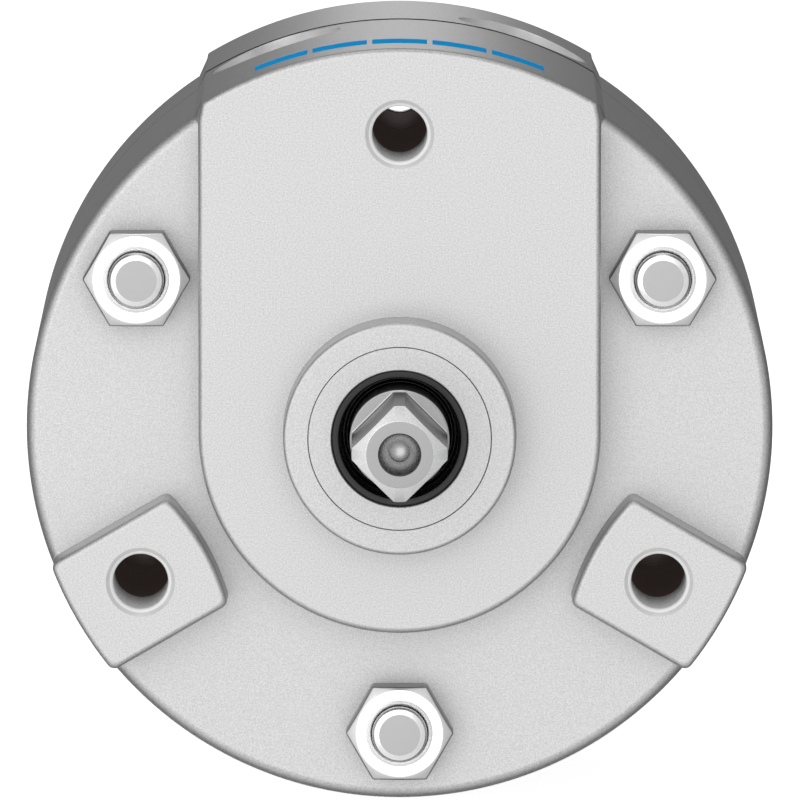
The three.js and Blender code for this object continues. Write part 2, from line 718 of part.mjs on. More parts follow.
function cageGroup() {
  const group = new THREE.Group();
  group.add(
    piece("front_ball_cage", ballCage(FRONT_BEARING_MIDDLE), BEARING_STEEL),
    piece("rear_ball_cage", ballCage(REAR_BEARING_MIDDLE), BEARING_STEEL),
  );
  return group;
}

const actuator = new THREE.Group();
actuator.add(housingGroup(), rotorGroup(), cageGroup());

export default actuator;
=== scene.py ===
"""Looks of the pneumatic rotary vane cylinder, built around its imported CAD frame.

The pieces are drawn in millimetres and scaled to metres when they are finished. The floor and the
lights are placed in metres. The shaft runs along Y with its milled square end towards -Y; +Z is up.
"""

import json
import math

import bmesh
import bpy
from mathutils import Matrix, Vector

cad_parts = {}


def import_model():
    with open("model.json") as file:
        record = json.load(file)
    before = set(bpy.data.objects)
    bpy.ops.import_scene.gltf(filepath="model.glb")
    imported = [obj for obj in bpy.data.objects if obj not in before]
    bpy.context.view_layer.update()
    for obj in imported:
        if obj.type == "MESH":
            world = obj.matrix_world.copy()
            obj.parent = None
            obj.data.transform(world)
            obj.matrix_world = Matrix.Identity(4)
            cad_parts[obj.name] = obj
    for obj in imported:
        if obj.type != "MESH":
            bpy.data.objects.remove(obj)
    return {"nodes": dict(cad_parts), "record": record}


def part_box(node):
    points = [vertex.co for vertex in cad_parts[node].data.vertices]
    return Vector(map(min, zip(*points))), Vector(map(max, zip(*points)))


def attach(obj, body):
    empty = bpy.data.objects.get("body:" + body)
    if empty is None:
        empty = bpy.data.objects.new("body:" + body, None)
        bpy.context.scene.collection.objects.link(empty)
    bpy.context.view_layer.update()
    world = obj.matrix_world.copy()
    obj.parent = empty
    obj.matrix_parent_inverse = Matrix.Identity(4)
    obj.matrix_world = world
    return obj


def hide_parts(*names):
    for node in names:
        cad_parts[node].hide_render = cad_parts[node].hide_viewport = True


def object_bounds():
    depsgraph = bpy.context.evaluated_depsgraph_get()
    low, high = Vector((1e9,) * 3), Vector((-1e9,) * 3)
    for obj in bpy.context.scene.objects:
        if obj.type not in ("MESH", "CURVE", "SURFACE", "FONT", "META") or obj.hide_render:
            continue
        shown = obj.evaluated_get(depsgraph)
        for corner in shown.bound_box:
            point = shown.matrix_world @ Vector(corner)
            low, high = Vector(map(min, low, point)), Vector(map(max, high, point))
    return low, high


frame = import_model()
cad_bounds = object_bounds()

MM = 0.001
TAU = 2 * math.pi

# ---------------------------------------------------------------- sizes, from the frame


def node_mm(node):
    low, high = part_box(node)
    return low / MM, high / MM


FRONT_LOW, FRONT_HIGH = node_mm("front_housing")
REAR_LOW, REAR_HIGH = node_mm("rear_housing")
SHAFT_LOW, SHAFT_HIGH = node_mm("shaft")

BODY_RADIUS = FRONT_HIGH.x
BOSS_RADIUS = FRONT_HIGH.z
LAND_HEIGHT = 7.0
HUB_HEIGHT = 7.0
FRONT_HUB = FRONT_LOW.y
FRONT_LAND = FRONT_HUB + HUB_HEIGHT
FRONT_BASE = FRONT_LAND + LAND_HEIGHT
FRONT_END = FRONT_HIGH.y
REAR_START = REAR_LOW.y
REAR_LAND = 0.0
REAR_BASE = REAR_LAND - LAND_HEIGHT
SPIGOT_FACE = REAR_HIGH.y
JOINT = (FRONT_END + REAR_START) / 2

LAND_HALF_WIDTH = 21.5
BOSS_HALF_WIDTH = 21.15
TOP_FILLET = 0.6
BASE_FILLET = 0.12
LUG_HALF_WIDTH = 6.6
LUG_OFFSET = 0.2  # the lugs sit a little below their holes
LUG_INNER_RADIUS = 24.2
LUG_INNER_CURVE = 26.0  # radius of the lug's hollow inner edge
LUG_ANGLES = (210, 330)

FRONT_HUB_RADIUS = 12.42
SPIGOT_RADIUS = 15.0
MOUNT_CIRCLE = 32.0  # a radius, as are all sizes here that end in CIRCLE, RADIUS, BORE or POCKET
MOUNT_ANGLES = (90, 210, 330)
MOUNT_RADIUS = 2.95
BOLT_CIRCLE = 32.5
BOLT_ANGLES = (150, 30, 270)
PORT_TILT = 19.3
SEAM_CHAMFER = 0.16  # on the round front half, at the joint
SEAM_STEP = 0.11  # how far the front half of the boss ends below the rear half
PORT_TO_JOINT = 7.5
CHAMBER_RADIUS = 26.0
END_WALL = 8.0
BEARING_BORE = 10.8
SHAFT_BORE = 7.0
FRONT_POCKET = 9.8
REAR_POCKET = 11.0
POCKET_DEPTH = 7.0
COVER_THICKNESS = 2.0
BOLT_HOLE_RADIUS = 3.3
DOWEL_HOLE_RADIUS = 1.65
DOWEL_PLACES = ((-4.2, 21.5), (4.2, 21.5))

# ---------------------------------------------------------------- materials


class Shader:
    """A Principled material with procedural grain, given as bump, colour and roughness variation."""

    def __init__(self, name, colour, metallic, roughness):
        self.material = bpy.data.materials.new(name)
        self.material.use_nodes = True
        self.nodes = self.material.node_tree.nodes
        self.links = self.material.node_tree.links
        self.bsdf = next(n for n in self.nodes if n.type == "BSDF_PRINCIPLED")
        self.bsdf.inputs["Base Color"].default_value = (*colour, 1)
        self.bsdf.inputs["Metallic"].default_value = metallic
        self.bsdf.inputs["Roughness"].default_value = roughness
        self.place = self.nodes.new("ShaderNodeTexCoord").outputs["Object"]
        self.height = None

    def stretched(self, scale):
        mapping = self.nodes.new("ShaderNodeMapping")
        mapping.inputs["Scale"].default_value = scale
        self.links.new(self.place, mapping.inputs["Vector"])
        return mapping.outputs["Vector"]

    def noise(self, size_mm, detail=2.0, rough=0.5, stretch=None):
        """Noise whose blotches are about size_mm across."""
        node = self.nodes.new("ShaderNodeTexNoise")
        node.inputs["Scale"].default_value = 1 / (size_mm * MM)
        node.inputs["Detail"].default_value = detail
        node.inputs["Roughness"].default_value = rough
        source = self.stretched(stretch) if stretch else self.place
        self.links.new(source, node.inputs["Vector"])
        return node.outputs["Fac"]

    def spread(self, value, low, high):
        """Maps noise, which lies mostly between 0.3 and 0.7, onto low to high."""
        node = self.nodes.new("ShaderNodeMapRange")
        node.inputs["From Min"].default_value = 0.3
        node.inputs["From Max"].default_value = 0.7
        node.inputs["To Min"].default_value = low
        node.inputs["To Max"].default_value = high
        self.links.new(value, node.inputs["Value"])
        return node.outputs["Result"]

    def bump(self, value, depth_mm):
        node = self.nodes.new("ShaderNodeBump")
        node.inputs["Strength"].default_value = 1.0
        node.inputs["Distance"].default_value = depth_mm * MM
        self.links.new(value, node.inputs["Height"])
        if self.height is not None:
            self.links.new(self.height, node.inputs["Normal"])
        self.height = node.outputs["Normal"]
        self.links.new(self.height, self.bsdf.inputs["Normal"])

    def roughen(self, value, low, high):
        self.links.new(self.spread(value, low, high), self.bsdf.inputs["Roughness"])

    def tint(self, value, dark, light):
        ramp = self.nodes.new("ShaderNodeValToRGB")
        ramp.color_ramp.elements[0].position = 0.3
        ramp.color_ramp.elements[0].color = (*dark, 1)
        ramp.color_ramp.elements[1].position = 0.7
        ramp.color_ramp.elements[1].color = (*light, 1)
        self.links.new(value, ramp.inputs["Fac"])
        self.links.new(ramp.outputs["Color"], self.bsdf.inputs["Base Color"])


def grey(value, blue=0.0):
    return (value, value, value + blue)


def blasted_aluminium():
    shader = Shader("cast_aluminium", grey(0.58), 0.88, 0.48)
    grain = shader.noise(0.17, detail=2)
    shader.tint(grain, grey(0.48), grey(0.68))
    shader.roughen(grain, 0.45, 0.51)
    shader.bump(grain, 0.016)
    return shader.material


def turned_aluminium():
    shader = Shader("machined_aluminium", grey(0.80), 1.0, 0.30)
    grain = shader.noise(0.3, detail=2)
    shader.tint(grain, grey(0.78), grey(0.82))
    shader.roughen(grain, 0.28, 0.34)
    return shader.material


def hole_mouth():
    shader = Shader("hole_mouth", grey(0.98), 0.0, 0.25)
    grain = shader.noise(0.3, detail=2)
    shader.tint(grain, grey(0.96), grey(1.0))
    shader.roughen(grain, 0.22, 0.28)
    return shader.material


def hole_chamfer():
    shader = Shader("hole_chamfer", grey(0.72), 0.3, 0.4)
    grain = shader.noise(0.2, detail=2)
    shader.tint(grain, grey(0.70), grey(0.74))
    shader.roughen(grain, 0.36, 0.44)
    return shader.material


def cored_wall_painted_glow():
    shader = Shader("cored_wall_painted_glow", (0.13, 0.10, 0.09), 0.0, 0.8)
    grain = shader.noise(0.4, detail=3)
    shader.tint(grain, (0.11, 0.085, 0.075), (0.15, 0.115, 0.105))
    shader.bump(grain, 0.02)
    # The faint emission is a painted glow that stands in for light reaching down the bore.
    shader.bsdf.inputs["Emission Color"].default_value = (1.0, 0.73, 0.70, 1)
    shader.bsdf.inputs["Emission Strength"].default_value = 0.013
    return shader.material


def zinc_plate():
    shader = Shader("plated_steel", grey(0.92), 1.0, 0.24)
    cloud = shader.noise(1.2, detail=3)
    shader.tint(cloud, grey(0.90), grey(0.94))
    shader.roughen(shader.noise(0.5), 0.21, 0.27)
    return shader.material


def screw_zinc():
    shader = Shader("screw_steel", grey(0.88), 1.0, 0.28)
    cloud = shader.noise(0.6, detail=2)
    shader.tint(cloud, grey(0.86), grey(0.90))
    shader.roughen(cloud, 0.26, 0.30)
    return shader.material


def screw_end():
    shader = Shader("screw_end", grey(0.36), 1.0, 0.35)
    cloud = shader.noise(0.6, detail=2)
    shader.tint(cloud, grey(0.355), grey(0.365))
    shader.roughen(cloud, 0.33, 0.37)
    return shader.material


def ground_steel():
    shader = Shader("shaft_steel", grey(0.72), 1.0, 0.32)
    rings = shader.noise(0.15, detail=2, stretch=(0.15, 1, 0.15))
    shader.tint(rings, grey(0.70), grey(0.75))
    shader.roughen(rings, 0.28, 0.36)
    return shader.material


def turned_end():
    shader = Shader("turned_end", grey(0.32), 1.0, 0.38)
    grain = shader.noise(0.2, detail=3)
    shader.tint(grain, grey(0.30), grey(0.34))
    shader.roughen(grain, 0.34, 0.42)
    return shader.material


def bright_chamfer():
    shader = Shader("bright_chamfer", grey(0.88, 0.01), 1.0, 0.20)
    marks = shader.noise(0.2, detail=2, stretch=(1, 0.3, 1))
    shader.tint(marks, grey(0.83, 0.01), grey(0.93, 0.01))
    shader.roughen(marks, 0.18, 0.24)
    return shader.material


def cut_steel(name, value, roughness):
    """Steel left by a milling cutter or a drill, with faint marks along Y."""
    shader = Shader(name, grey(value), 1.0, roughness)
    marks = shader.noise(0.35, detail=2, stretch=(1, 0.2, 1))
    shader.tint(marks, grey(value * 0.96), grey(value * 1.04))
    shader.roughen(marks, roughness - 0.02, roughness + 0.02)
    return shader.material


def bearing_steel():
    shader = Shader("bearing_steel", grey(0.62, 0.02), 1.0, 0.18)
    cloud = shader.noise(0.8)
    shader.tint(cloud, grey(0.58, 0.02), grey(0.66, 0.02))
    shader.roughen(cloud, 0.14, 0.24)
    return shader.material


def nitrile():
    shader = Shader("black_rubber", grey(0.034), 0.0, 0.5)
    grain = shader.noise(0.2, detail=3)
    shader.tint(grain, grey(0.030), grey(0.038))
    shader.roughen(grain, 0.45, 0.55)
    shader.bump(grain, 0.003)
    return shader.material


def glossy_painted_shade():
    # A near-black glossy finish: painted shade for the seal's deep hollow and for the gap at the housing
    # joint.
    shader = Shader("glossy_painted_shade", grey(0.004), 0.0, 0.22)
    grain = shader.noise(0.5)
    shader.roughen(grain, 0.18, 0.28)
    shader.bump(grain, 0.004)
    return shader.material


def polyurethane():
    shader = Shader("stop_rubber", (0.04, 0.05, 0.07), 0.0, 0.5)
    grain = shader.noise(0.4)
    shader.tint(grain, (0.035, 0.045, 0.065), (0.05, 0.06, 0.08))
    shader.bump(grain, 0.005)
    return shader.material


def filled_polymer():
    shader = Shader("vane_polymer", (0.07, 0.075, 0.08), 0.0, 0.5)
    fibres = shader.noise(0.25, detail=4, stretch=(1, 0.3, 1))
    shader.tint(fibres, (0.06, 0.065, 0.07), (0.09, 0.095, 0.1))
    shader.roughen(fibres, 0.42, 0.58)
    shader.bump(fibres, 0.005)
    return shader.material


def blue_paint():
    shader = Shader("mark_blue", (0.0, 0.38, 0.90), 0.0, 0.9)
    grain = shader.noise(0.35, detail=3)
    shader.tint(grain, (0.0, 0.41, 0.93), (0.0, 0.45, 1.0))
    shader.bsdf.inputs["Specular IOR Level"].default_value = 0.05
    shader.bump(grain, 0.006)
    return shader.material


MATERIALS = {
    "cast_aluminium": blasted_aluminium(),
    "machined_aluminium": turned_aluminium(),
    "hole_mouth": hole_mouth(),
    "hole_chamfer": hole_chamfer(),
    "cored_wall_painted_glow": cored_wall_painted_glow(),
    "plated_steel": zinc_plate(),
    "screw_steel": screw_zinc(),
    "screw_end": screw_end(),
    "turned_end": turned_end(),
    "bright_chamfer": bright_chamfer(),
    "milled_flat": cut_steel("milled_flat", 0.32, 0.30),
    "milled_shoulder": cut_steel("milled_shoulder", 0.38, 0.35),
    "centre_hole": cut_steel("centre_hole", 0.45, 0.28),
    # A darker copy of the milled steel: painted shade for the nut sides and the shaft's round corner
    # bands.
    "painted_shade_steel": cut_steel("painted_shade_steel", 0.22, 0.40),
    "shaft_steel": ground_steel(),
    "bearing_steel": bearing_steel(),
    "black_rubber": nitrile(),
    "glossy_painted_shade": glossy_painted_shade(),
    "stop_rubber": polyurethane(),
    "vane_polymer": filled_polymer(),
    "mark_blue": blue_paint(),
}

# ---------------------------------------------------------------- mesh helpers


def polar(radius, angle):
    """A point (x, z) at that radius and angle in degrees."""
    return radius * math.cos(math.radians(angle)), radius * math.sin(math.radians(angle))


def arc(centre, radius, start, end, steps):
    """Points (a, b) along an arc, both ends included. Angles are in degrees."""
    turns = [start + (end - start) * i / steps for i in range(steps + 1)]
    return [
        (centre[0] + radius * math.cos(math.radians(t)), centre[1] + radius * math.sin(math.radians(t)))
        for t in turns
    ]


def rounded(points, steps=5):
    """A polyline of (a, b) or (a, b, radius); a corner with a radius becomes an arc."""
    count = len(points)
    result = []
    for i, point in enumerate(points):
        radius = point[2] if len(point) > 2 else 0
        corner = Vector(point[:2])
        if radius == 0 or i in (0, count - 1):
            result.append(tuple(corner))
            continue
        result += corner_arc(Vector(points[i - 1][:2]), corner, Vector(points[i + 1][:2]), radius, steps)
    return result


def corner_arc(before, corner, after, radius, steps):
    """Points of the arc that touches both sides of a corner."""
    to_before = (before - corner).normalized()
    to_after = (after - corner).normalized()
    half = to_before.angle(to_after) / 2
    reach = radius / math.tan(half)
    centre = corner + (to_before + to_after).normalized() * (radius / math.sin(half))
    start = corner + to_before * reach - centre
    end = corner + to_after * reach - centre
    turn = start.angle_signed(end)
    points = []
    for i in range(steps + 1):
        angle = -turn * i / steps
        c, s = math.cos(angle), math.sin(angle)
        points.append((centre.x + start.x * c - start.y * s, centre.y + start.x * s + start.y * c))
    return points


def rounded_loop(points, steps=5):
    """As rounded, for a closed outline whose first point isn't repeated."""
    count = len(points)
    result = []
    for i, point in enumerate(points):
        radius = point[2] if len(point) > 2 else 0
        if radius == 0:
            result.append(tuple(point[:2]))
            continue
        before = Vector(points[i - 1][:2])
        after = Vector(points[(i + 1) % count][:2])
        result += corner_arc(before, Vector(point[:2]), after, radius, steps)
    return result


def new_object(name, bm, material):
    bmesh.ops.recalc_face_normals(bm, faces=bm.faces)
    mesh = bpy.data.meshes.new(name)
    bm.to_mesh(mesh)
    bm.free()
    mesh.materials.append(MATERIALS[material])
    obj = bpy.data.objects.new(name, mesh)
    bpy.context.scene.collection.objects.link(obj)
    return obj


def revolve(name, profile, material, segments=96, centre=(0, 0)):
    """A solid of revolution about an axis along Y, from a profile of (radius, y).

    The profile either starts and ends on the axis or is a loop whose first point isn't repeated.
    """
    bm = bmesh.new()
    columns = []
    for radius, y in profile:
        if radius < 1e-6:
            columns.append([bm.verts.new((centre[0], y, centre[1]))] * segments)
            continue
        ring = []
        for i in range(segments):
            angle = TAU * i / segments
            x = centre[0] + radius * math.cos(angle)
            z = centre[1] + radius * math.sin(angle)
            ring.append(bm.verts.new((x, y, z)))
        columns.append(ring)
    closed = profile[0][0] > 1e-6
    pairs = list(zip(columns, columns[1:]))
    if closed:
        pairs.append((columns[-1], columns[0]))
    for low, high in pairs:
        for i in range(segments):
            j = (i + 1) % segments
            corners = [low[i], low[j], high[j], high[i]]
            face = [v for k, v in enumerate(corners) if v not in corners[:k]]
            if len(face) > 2:
                bm.faces.new(face)
    return new_object(name, bm, material)


def sweep(name, angles, profile_at, material, centre):
    """A closed ring about an axis along Y, whose profile of (radius, y) changes with the angle."""
    bm = bmesh.new()
    rings = []
    for angle in angles:
        points = [(*polar(radius, angle), y) for radius, y in profile_at(angle)]
        rings.append([bm.verts.new((centre[0] + x, y, centre[1] + z)) for x, z, y in points])
    for i, ring in enumerate(rings):
        following = rings[(i + 1) % len(rings)]
        for k in range(len(ring)):
            j = (k + 1) % len(ring)
            bm.faces.new((ring[k], ring[j], following[j], following[k]))
    return new_object(name, bm, material)


def skin(name, loops, material):
    """A closed solid through loops of (x, y, z) points, all with equal numbers of points."""
    bm = bmesh.new()
    rings = [[bm.verts.new(point) for point in loop] for loop in loops]
    for low, high in zip(rings, rings[1:]):
        for i in range(len(low)):
            j = (i + 1) % len(low)
            bm.faces.new((low[i], low[j], high[j], high[i]))
    bm.faces.new(rings[0])
    bm.faces.new(rings[-1])
    return new_object(name, bm, material)


def loft(name, sections, material):
    """A solid through sections of (y, outline), each outline a loop of (x, z)."""
    return skin(name, [[(x, y, z) for x, z in outline] for y, outline in sections], material)


def upright(name, outline, levels, material):
    """A solid with an outline of (x, y), standing from the first to the last level in z."""
    return skin(name, [[(x, y, z) for x, y in outline] for z in levels], material)


def turn(obj, angle):
    """Turns a mesh about the shaft's axis, from +X towards +Z, by an angle in degrees."""
    obj.data.transform(Matrix.Rotation(-math.radians(angle), 4, "Y"))
    return obj


def combine(obj, others, operation):
    """Joins the others to obj, or cuts them from it, and removes them."""
    for other in others:
        step = obj.modifiers.new("step", "BOOLEAN")
        step.solver = "MANIFOLD"
        step.operation = operation
        step.object = other
        step.material_mode = "TRANSFER"
    bake(obj)
    for other in others:
        bpy.data.objects.remove(other)
    return obj


def bake(obj):
    """Applies the modifiers of an object to its mesh."""
    graph = bpy.context.evaluated_depsgraph_get()
    graph.update()
    mesh = bpy.data.meshes.new_from_object(obj.evaluated_get(graph), depsgraph=graph)
    obj.modifiers.clear()
    obj.data = mesh


def refinish(obj, material, chosen):
    """Gives another material to the faces whose centre and normal pass a test."""
    obj.data.materials.append(MATERIALS[material])
    index = len(obj.data.materials) - 1
    for polygon in obj.data.polygons:
        if chosen(polygon.center, polygon.normal):
            polygon.material_index = index


def deliver(obj, body, replaced, sharp=35):
    """Scales a piece to metres, smooths its shading and hangs it on its body, in place of a CAD node."""
    obj.data.transform(Matrix.Scale(MM, 4))
    mesh = obj.data
    mesh.polygons.foreach_set("use_smooth", [True] * len(mesh.polygons))
    mesh.set_sharp_from_angle(angle=math.radians(sharp))
    weighted = obj.modifiers.new("weighted", "WEIGHTED_NORMAL")
    weighted.keep_sharp = True
    weighted.weight = 100
    bake(obj)
    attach(obj, body)
    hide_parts(replaced)


# ---------------------------------------------------------------- housing


def land_outline(inset, lean, arc_inset):
    """The raised land and the port boss: a stadium below, an arc of the boss on top.

    inset moves the whole edge inwards; lean moves the walls below the boss outwards.
    """
    half = LAND_HALF_WIDTH - inset + lean
    arc_radius = BOSS_RADIUS - arc_inset
    corner_x = BOSS_HALF_WIDTH - inset
    corner_z = math.sqrt(arc_radius**2 - corner_x**2)
    corner_angle = math.degrees(math.atan2(corner_z, corner_x))
    bottom = arc((0, 0), half, 180, 360, 96)
    crest = arc((0, 0), arc_radius, corner_angle, 180 - corner_angle, 48)
    wall_top, corner_radius = 33.4, 0.4
    outline = bottom + [(half, wall_top - 3), (half, wall_top)]
    outline += [(*crest[0], corner_radius)] + crest[1:-1] + [(*crest[-1], corner_radius)]
    outline += [(-half, wall_top), (-half, wall_top - 3)]
    return rounded_loop(outline, 4)


def edge_sections(face, inwards, outline, base):
    """Sections from a raised face down to its base: rounded edge, straight wall, small hollow fillet."""
    sections = []
    for step in range(6):
        angle = math.radians(90 * step / 5)
        inset = TOP_FILLET * (1 - math.sin(angle))
        y = face + inwards * TOP_FILLET * (1 - math.cos(angle))
        sections.append((y, outline(inset, 0)))
    fillet_top = base - inwards * BASE_FILLET
    sections.append((fillet_top, outline(0, 0)))
    for step in range(1, 4):
        angle = math.radians(90 * step / 3)
        lean = BASE_FILLET * (1 - math.cos(angle))
        y = fillet_top + inwards * (BASE_FILLET + 0.02) * math.sin(angle)
        sections.append((y, outline(0, lean)))
    return sections


def land(face, inwards, base, end):
    """The land and the port boss in one; past the base its side walls stand a little further out."""

    def outline(inset, lean):
        return land_outline(inset, lean, inset)

    sections = edge_sections(face, inwards, outline, base)
    boss_spread = BASE_FILLET + 0.4
    seam_step = SEAM_STEP if inwards > 0 else 0
    sections.append((base + inwards * 0.5, outline(0, boss_spread)))
    sections.append((end, land_outline(0, boss_spread, seam_step)))
    return loft("land", sections, "cast_aluminium")


def lug_outline(inset, lean):
    """Drawn along +X; the outer edge stays just inside the round body."""
    corner_radius = 0.9
    half = LUG_HALF_WIDTH - inset + lean
    outer = BODY_RADIUS - 0.05 - inset
    inner = LUG_INNER_CURVE - inset + lean
    centre = LUG_INNER_RADIUS + LUG_INNER_CURVE
    outer_swing = math.degrees(math.asin(half / outer))
    inner_swing = math.degrees(math.asin(half / inner))
    outer_arc = arc((0, 0), outer, -outer_swing, outer_swing, 8)
    inner_arc = arc((centre, 0), inner, 180 - inner_swing, 180 + inner_swing, 8)
    outline = outer_arc + inner_arc
    corners = {0, len(outer_arc) - 1, len(outer_arc), len(outline) - 1}
    for i in corners:
        outline[i] = (*outline[i], corner_radius)
    return rounded_loop(outline, 5)


def lug(face, inwards, base, angle):
    side = LUG_OFFSET if angle < 270 else -LUG_OFFSET

    def outline(inset, lean):
        return [(x, z + side) for x, z in lug_outline(inset, lean)]

    sections = edge_sections(face, inwards, outline, base)
    sections.append((base + inwards * 2, outline(0, BASE_FILLET)))
    return turn(loft("lug", sections, "cast_aluminium"), angle)


def barrel(base, end):
    """The round body, with a rounded rim and, on the front half, a small chamfer at the joint."""
    inwards = 1 if end > base else -1
    profile = rounded(
        [
            (0, base),
            (BODY_RADIUS, base, 1.2),
            (BODY_RADIUS, end - inwards * 0.15),
            (BODY_RADIUS - (SEAM_CHAMFER if inwards > 0 else 0), end),
            (0, end),
        ]
    )
    return revolve("barrel", profile, "cast_aluminium", 256)


def hub(radius, face, base, inwards):
    """A round hub with a rounded edge and a small hollow fillet at its foot."""
    foot = base - inwards * BASE_FILLET
    hollow = [
        (radius + 0.01 + BASE_FILLET * (1 - math.cos(t)), foot + inwards * BASE_FILLET * math.sin(t))
        for t in (math.radians(15 * i) for i in range(7))
    ]
    profile = rounded([(0, face), (radius, face, 0.4), hollow[0]]) + hollow[1:]
    profile += [(hollow[-1][0], base + inwards), (0, base + inwards)]
    return revolve("hub", profile, "cast_aluminium", 160)


def mount_hole(face, inwards, end, machined, angle):
    """Cuts of a fastening hole: machined mouth with a chamfer, then a slightly wider cored stretch."""
    y = lambda depth: face + inwards * depth
    wide, wider = MOUNT_RADIUS + 0.12, MOUNT_RADIUS + 0.2
    widening = 27
    chamfer = 0.75
    centre = polar(MOUNT_CIRCLE, angle)
    mouth = rounded(
        [
            (0, y(-1)),
            (MOUNT_RADIUS + chamfer + 1, y(-1)),
            (MOUNT_RADIUS, y(chamfer), 1.2),
            (MOUNT_RADIUS, y(machined)),
            (0, y(machined)),
        ]
    )
    core = [
        (0, y(machined - 0.02)),
        (wide, y(machined)),
        (wide, y(widening)),
        (wider, y(widening + 0.1)),
        (wider, end + inwards),
        (0, end + inwards),
    ]
    opening = revolve("mouth", mouth, "hole_mouth", 64, centre)
    refinish(opening, "hole_chamfer", lambda centre, normal: 0.66 < abs(normal.y) < 0.9)
    # The cored stretch carries a faint painted glow in place of light reaching down the bore.
    return [opening, revolve("core", core, "cored_wall_painted_glow", 64, centre)]


def bolt_hole(low, high, angle):
    return straight_bore(BOLT_HOLE_RADIUS, low, high, 48, polar(BOLT_CIRCLE, angle))


def port(y, angle):
    """A spot-faced, threaded air port, drawn along Y and then turned to its place."""
    outside, seat, floor, inside = 50, 39.7, 31.5, 24
    seat_radius, thread_crest, thread_root, duct_radius = 7.4, 4.3, 4.75, 1.5
    pitch = 0.907
    level = seat - 0.5
    profile = [(0, outside), (seat_radius, outside), (seat_radius, seat + 0.15)]
    profile += [(seat_radius - 0.15, seat), (thread_root + 0.25, seat), (thread_root, level)]
    while level - pitch > floor + 1.5:
        profile += [(thread_crest, level - pitch * 0.5), (thread_root, level - pitch)]
        level -= pitch
    profile += [(thread_crest, level - 0.4), (thread_crest, floor)]
    profile += [(duct_radius, floor - 1.6), (duct_radius, inside), (0, inside)]
    bar = revolve("port", profile, "machined_aluminium", 64)
    raise_up = Matrix.Rotation(math.radians(90), 4, "X")
    tilt = Matrix.Rotation(math.radians(90 - angle), 4, "Y")
    bar.data.transform(Matrix.Translation((0, y, 0)) @ tilt @ raise_up)
    return bar


def band_cuts(face):
    """A plain row of painted bars on the boss, let in by a few hundredths of a millimetre."""
    near, far, depth = 8.2, 15.4, 0.05
    bars, width, pitch = 5, 8.2, 9.0
    inner = BOSS_RADIUS - depth
    cuts = []
    for bar in range(bars):
        middle = 90 + pitch * (bar - (bars - 1) / 2)
        start, end = middle - width / 2, middle + width / 2
        outline = arc((0, 0), BOSS_RADIUS + 1, start, end, 10) + arc((0, 0), inner, end, start, 10)
        cuts.append(loft("bar", [(face + near, outline), (face + far, outline)], "mark_blue"))
    return cuts


def straight_bore(radius, low, high, segments=96, centre=(0, 0)):
    profile = [(0, low), (radius, low), (radius, high), (0, high)]
    return revolve("bore", profile, "machined_aluminium", segments, centre)


def seal_pocket(radius, face, inwards):
    """The round pocket for a shaft seal and its cover, a little wider at the mouth."""
    y = lambda depth: face + inwards * depth
    lead = 0.06
    profile = [
        (0, y(-1)),
        (radius + lead, y(-1)),
        (radius + lead, y(0)),
        (radius, y(lead)),
        (radius, y(POCKET_DEPTH)),
        (0, y(POCKET_DEPTH)),
    ]
    return revolve("pocket", profile, "machined_aluminium", 128)


def dowel_holes(low, high):
    return [straight_bore(DOWEL_HOLE_RADIUS, low, high, 32, place) for place in DOWEL_PLACES]


def front_housing():
    shell = barrel(FRONT_BASE, FRONT_END)
    raised = [land(FRONT_LAND, 1, FRONT_BASE, FRONT_END)]
    raised += [lug(FRONT_LAND, 1, FRONT_BASE, angle) for angle in LUG_ANGLES]
    raised.append(hub(FRONT_HUB_RADIUS, FRONT_HUB, FRONT_LAND, 1))
    shell = combine(shell, raised, "UNION")
    chamber_end = FRONT_BASE + END_WALL
    cuts = [
        straight_bore(CHAMBER_RADIUS, chamber_end, FRONT_END + 1, 192),
        straight_bore(BEARING_BORE, FRONT_BASE, chamber_end + 1),
        straight_bore(SHAFT_BORE, FRONT_HUB, chamber_end),
        seal_pocket(FRONT_POCKET, FRONT_HUB, 1),
        port(JOINT - PORT_TO_JOINT, 90 + PORT_TILT),
    ] + band_cuts(FRONT_LAND)
    cuts += sum((mount_hole(FRONT_LAND, 1, FRONT_END, 14, angle) for angle in MOUNT_ANGLES), [])
    cuts += [bolt_hole(FRONT_BASE - 1, FRONT_END + 1, angle) for angle in BOLT_ANGLES]
    cuts += dowel_holes(chamber_end - 3.2, chamber_end + 3)
    shell = combine(shell, cuts, "DIFFERENCE")
    shell.name = "front_housing_shell"
    deliver(shell, "housing", "front_housing")


def seal_groove():
    """The groove for the joint seal, round the chamber in the mating face of the rear half."""
    inner, outer = 26.9, 28.7
    above, floor = REAR_START - 1, REAR_START + 1.5
    profile = [(inner, above), (outer, above), (outer, floor), (inner, floor)]
    return revolve("groove", profile, "machined_aluminium", 192)


